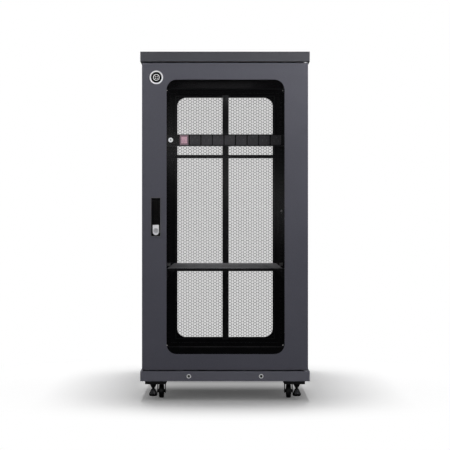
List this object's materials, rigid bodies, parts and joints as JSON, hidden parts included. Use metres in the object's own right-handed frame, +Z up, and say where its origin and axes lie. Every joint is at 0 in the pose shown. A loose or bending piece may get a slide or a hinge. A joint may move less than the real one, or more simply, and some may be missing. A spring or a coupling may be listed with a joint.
{
  "type": "network server rack cabinet",
  "caption": "Floor-standing 19-inch rack cabinet with glazed front door, mesh rear door, tilt-out side panels, rails, shelf, power strip, roof fans, casters and levelling feet.",
  "frame": {"origin": "on the floor, under the middle of the cabinet", "axes": "+Z up, -Y out of the glazed front door, +X to the right of someone facing that door"},
  "size_m": [0.6, 0.8, 1.236],
  "materials": {
    "painted_steel": "fine textured powder coat, satin",
    "zinc_steel": "zinc plated",
    "tinted_glass": "toughened, lightly tinted",
    "seal_rubber": "matt",
    "black_plastic": "fine grain, matt",
    "bright_metal": "satin nickel plated",
    "wheel_plastic": "moulded nylon",
    "light_plastic": "smooth",
    "red_plastic": "translucent, lit from inside",
    "grey_plastic": "matt"
  },
  "bodies": {
    "cabinet": {"top_frame": "painted_steel", "bottom_frame": "painted_steel", "top_cover": "painted_steel", "base_panel": "painted_steel", "corner_post_front_left": "painted_steel", "corner_post_front_right": "painted_steel", "corner_post_rear_left": "painted_steel", "corner_post_rear_right": "painted_steel", "side_braces": "painted_steel", "rail_front_left": "painted_steel", "rail_front_right": "painted_steel", "rail_rear_left": "painted_steel", "rail_rear_right": "painted_steel", "frame_fasteners": "zinc_steel", "hinge_pins": "zinc_steel", "caster_brackets": "painted_steel", "fan_housings": "black_plastic", "shelf": "painted_steel", "lacing_bar": "painted_steel", "strip_housing": "painted_steel", "strip_outlets": "black_plastic", "strip_bezels": "light_plastic", "rack_screws": "zinc_steel"},
    "front_door": {"front_door_frame": "painted_steel", "front_glass": "tinted_glass", "glass_seal": "seal_rubber", "glass_clamps": "zinc_steel", "badge": "light_plastic", "front_handle_housing": "black_plastic"},
    "front_lever": {"front_lever": "black_plastic", "front_lever_tip": "bright_metal"},
    "front_key": {"front_key_cylinder": "bright_metal"},
    "front_latch": {"front_latch_cam": "zinc_steel"},
    "rear_door": {"rear_door_frame": "painted_steel", "rear_mesh": "painted_steel", "rear_stiffener": "painted_steel", "rear_handle_housing": "black_plastic"},
    "rear_lever": {"rear_lever": "black_plastic"},
    "rear_key": {"rear_key_cylinder": "bright_metal"},
    "rear_latch": {"rear_latch_cam": "zinc_steel"},
    "side_panel_left": {"side_panel_left": "painted_steel"},
    "side_lock_left": {"side_lock_left": "zinc_steel"},
    "fan_rotor_left": {"fan_rotor_left": "black_plastic"},
    "side_panel_right": {"side_panel_right": "painted_steel"},
    "side_lock_right": {"side_lock_right": "zinc_steel"},
    "fan_rotor_right": {"fan_rotor_right": "black_plastic"},
    "strip_rocker": {"strip_rocker": "red_plastic"},
    "strip_reset": {"strip_reset": "grey_plastic"},
    "caster_fork_front_left": {"caster_fork_front_left": "zinc_steel"},
    "caster_wheel_front_left": {"caster_wheel_front_left": "wheel_plastic"},
    "level_foot_front_left": {"level_foot_front_left": "zinc_steel"},
    "caster_fork_front_right": {"caster_fork_front_right": "zinc_steel"},
    "caster_wheel_front_right": {"caster_wheel_front_right": "wheel_plastic"},
    "level_foot_front_right": {"level_foot_front_right": "zinc_steel"},
    "caster_fork_rear_left": {"caster_fork_rear_left": "zinc_steel"},
    "caster_wheel_rear_left": {"caster_wheel_rear_left": "wheel_plastic"},
    "level_foot_rear_left": {"level_foot_rear_left": "zinc_steel"},
    "caster_fork_rear_right": {"caster_fork_rear_right": "zinc_steel"},
    "caster_wheel_rear_right": {"caster_wheel_rear_right": "wheel_plastic"},
    "level_foot_rear_right": {"level_foot_rear_right": "zinc_steel"}
  },
  "joints": [
    {"name": "front_door_swing", "type": "hinge", "parent": "cabinet", "child": "front_door", "pos_m": [0.285, -0.388, 0.653], "axis": [0, 0, 1], "range_deg": [0, 120]},
    {"name": "front_lever_lift", "type": "hinge", "parent": "front_door", "child": "front_lever", "pos_m": [-0.245, -0.392, 0.708], "axis": [-1, 0, 0], "range_deg": [0, 40]},
    {"name": "front_key_turn", "type": "hinge", "parent": "front_lever", "child": "front_key", "pos_m": [-0.245, -0.392, 0.603], "axis": [0, -1, 0], "range_deg": [0, 90]},
    {"name": "front_latch_turn", "type": "hinge", "parent": "front_door", "child": "front_latch", "pos_m": [-0.245, -0.38, 0.68], "axis": [0, 1, 0], "range_deg": [0, 90]},
    {"name": "rear_door_swing", "type": "hinge", "parent": "cabinet", "child": "rear_door", "pos_m": [-0.285, 0.388, 0.653], "axis": [0, 0, 1], "range_deg": [0, 120]},
    {"name": "rear_lever_lift", "type": "hinge", "parent": "rear_door", "child": "rear_lever", "pos_m": [0.245, 0.392, 0.708], "axis": [1, 0, 0], "range_deg": [0, 40]},
    {"name": "rear_key_turn", "type": "hinge", "parent": "rear_lever", "child": "rear_key", "pos_m": [0.245, 0.392, 0.603], "axis": [0, 1, 0], "range_deg": [0, 90]},
    {"name": "rear_latch_turn", "type": "hinge", "parent": "rear_door", "child": "rear_latch", "pos_m": [0.245, 0.38, 0.68], "axis": [0, -1, 0], "range_deg": [0, 90]},
    {"name": "side_panel_left_tilt", "type": "hinge", "parent": "cabinet", "child": "side_panel_left", "pos_m": [-0.295, 0, 0.107], "axis": [0, -1, 0], "range_deg": [0, 25]},
    {"name": "side_lock_left_turn", "type": "hinge", "parent": "side_panel_left", "child": "side_lock_left", "pos_m": [-0.285, 0, 1.15], "axis": [-1, 0, 0], "range_deg": [0, 90]},
    {"name": "fan_rotor_left_spin", "type": "hinge", "parent": "cabinet", "child": "fan_rotor_left", "pos_m": [-0.08, -0.04, 1.22], "axis": [0, 0, 1], "continuous": true},
    {"name": "side_panel_right_tilt", "type": "hinge", "parent": "cabinet", "child": "side_panel_right", "pos_m": [0.295, 0, 0.107], "axis": [0, 1, 0], "range_deg": [0, 25]},
    {"name": "side_lock_right_turn", "type": "hinge", "parent": "side_panel_right", "child": "side_lock_right", "pos_m": [0.285, 0, 1.15], "axis": [1, 0, 0], "range_deg": [0, 90]},
    {"name": "fan_rotor_right_spin", "type": "hinge", "parent": "cabinet", "child": "fan_rotor_right", "pos_m": [0.08, -0.04, 1.22], "axis": [0, 0, 1], "continuous": true},
    {"name": "strip_rocker_rock", "type": "hinge", "parent": "cabinet", "child": "strip_rocker", "pos_m": [-0.149, -0.279, 0.93258], "axis": [1, 0, 0], "range_deg": [0, 15]},
    {"name": "strip_reset_press", "type": "slide", "parent": "cabinet", "child": "strip_reset", "axis": [0, 1, 0], "range_m": [0, 0.003], "stiffness_N_per_m": 400, "springref_m": -0.002},
    {"name": "caster_front_left_swivel", "type": "hinge", "parent": "cabinet", "child": "caster_fork_front_left", "pos_m": [-0.229, -0.31, 0.06], "axis": [0, 0, 1], "continuous": true},
    {"name": "caster_front_left_roll", "type": "hinge", "parent": "caster_fork_front_left", "child": "caster_wheel_front_left", "pos_m": [-0.229, -0.324, 0.025], "axis": [1, 0, 0], "continuous": true},
    {"name": "level_foot_front_left_screw", "type": "slide", "parent": "cabinet", "child": "level_foot_front_left", "axis": [0, 0, -1], "range_m": [-0.004, 0.013]},
    {"name": "caster_front_right_swivel", "type": "hinge", "parent": "cabinet", "child": "caster_fork_front_right", "pos_m": [0.229, -0.31, 0.06], "axis": [0, 0, 1], "continuous": true},
    {"name": "caster_front_right_roll", "type": "hinge", "parent": "caster_fork_front_right", "child": "caster_wheel_front_right", "pos_m": [0.229, -0.324, 0.025], "axis": [1, 0, 0], "continuous": true},
    {"name": "level_foot_front_right_screw", "type": "slide", "parent": "cabinet", "child": "level_foot_front_right", "axis": [0, 0, -1], "range_m": [-0.004, 0.013]},
    {"name": "caster_rear_left_swivel", "type": "hinge", "parent": "cabinet", "child": "caster_fork_rear_left", "pos_m": [-0.229, 0.31, 0.06], "axis": [0, 0, 1], "continuous": true},
    {"name": "caster_rear_left_roll", "type": "hinge", "parent": "caster_fork_rear_left", "child": "caster_wheel_rear_left", "pos_m": [-0.229, 0.324, 0.025], "axis": [1, 0, 0], "continuous": true},
    {"name": "level_foot_rear_left_screw", "type": "slide", "parent": "cabinet", "child": "level_foot_rear_left", "axis": [0, 0, -1], "range_m": [-0.004, 0.013]},
    {"name": "caster_rear_right_swivel", "type": "hinge", "parent": "cabinet", "child": "caster_fork_rear_right", "pos_m": [0.229, 0.31, 0.06], "axis": [0, 0, 1], "continuous": true},
    {"name": "caster_rear_right_roll", "type": "hinge", "parent": "caster_fork_rear_right", "child": "caster_wheel_rear_right", "pos_m": [0.229, 0.324, 0.025], "axis": [1, 0, 0], "continuous": true},
    {"name": "level_foot_rear_right_screw", "type": "slide", "parent": "cabinet", "child": "level_foot_rear_right", "axis": [0, 0, -1], "range_m": [-0.004, 0.013]}
  ],
  "couplings": [
    {"joint": "front_latch_turn", "follows": "front_lever_lift", "ratio": 2.25},
    {"joint": "rear_latch_turn", "follows": "rear_lever_lift", "ratio": 2.25}
  ]
}
